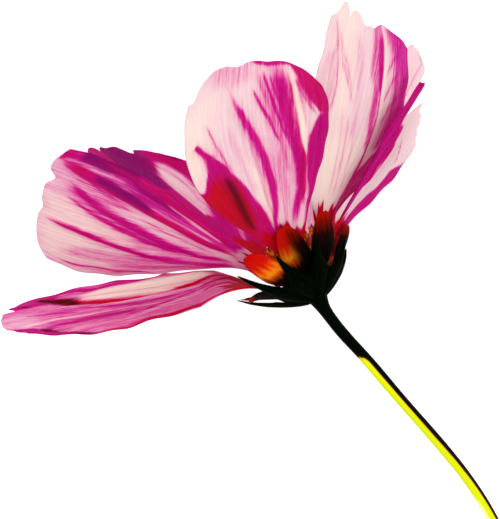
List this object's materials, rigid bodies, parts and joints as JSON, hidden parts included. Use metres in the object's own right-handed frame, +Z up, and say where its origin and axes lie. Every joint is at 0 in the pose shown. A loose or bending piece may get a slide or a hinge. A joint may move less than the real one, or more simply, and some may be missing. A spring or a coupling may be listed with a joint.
{
  "type": "cosmos flower",
  "caption": "Cut cosmos flower lying on its side: broad toothed pink petals round a small yellow disc, two rings of bracts under them, and a thin bent stem.",
  "frame": {"origin": "centre of the bounding box of the whole flower, on the surface it lies on", "axes": "+Z up from the surface; +Y the longer way in plan, from the cut end of the stem towards the tips of the petals; +X to the right, seen from above"},
  "size_m": [0.0905, 0.1014, 0.0691],
  "materials": {
    "petal": "thin satin petal, pale pink with magenta veins",
    "outer_bract": "matt dark green leaf",
    "inner_bract": "thin satin amber membrane with red tips",
    "disc": "matt yellow florets with dark anthers",
    "stem": "satin yellow green stem, dark near the bloom"
  },
  "bodies": {
    "root": {"petal_1": "petal", "petal_2": "petal", "petal_3": "petal", "petal_4": "petal", "petal_5": "petal", "petal_6": "petal", "petal_7": "petal", "petal_8": "petal", "outer_bract_1": "outer_bract", "outer_bract_2": "outer_bract", "outer_bract_3": "outer_bract", "outer_bract_4": "outer_bract", "outer_bract_5": "outer_bract", "outer_bract_6": "outer_bract", "outer_bract_7": "outer_bract", "outer_bract_8": "outer_bract", "inner_bract_1": "inner_bract", "inner_bract_2": "inner_bract", "inner_bract_3": "inner_bract", "inner_bract_4": "inner_bract", "inner_bract_5": "inner_bract", "inner_bract_6": "inner_bract", "inner_bract_7": "inner_bract", "inner_bract_8": "inner_bract", "receptacle": "stem", "disc_floret_01": "disc", "disc_floret_02": "disc", "disc_floret_03": "disc", "disc_floret_04": "disc", "disc_floret_05": "disc", "disc_floret_06": "disc", "disc_floret_07": "disc", "disc_floret_08": "disc", "disc_floret_09": "disc", "disc_floret_10": "disc", "disc_floret_11": "disc", "disc_floret_12": "disc", "disc_floret_13": "disc", "disc_floret_14": "disc", "disc_floret_15": "disc", "disc_floret_16": "disc", "disc_floret_17": "disc", "disc_floret_18": "disc", "disc_floret_19": "disc", "disc_floret_20": "disc", "disc_floret_21": "disc", "disc_floret_22": "disc", "disc_floret_23": "disc", "disc_floret_24": "disc", "disc_floret_25": "disc", "disc_floret_26": "disc", "disc_floret_27": "disc", "disc_floret_28": "disc", "disc_floret_29": "disc", "disc_floret_30": "disc", "stem": "stem"}
  },
  "joints": []
}
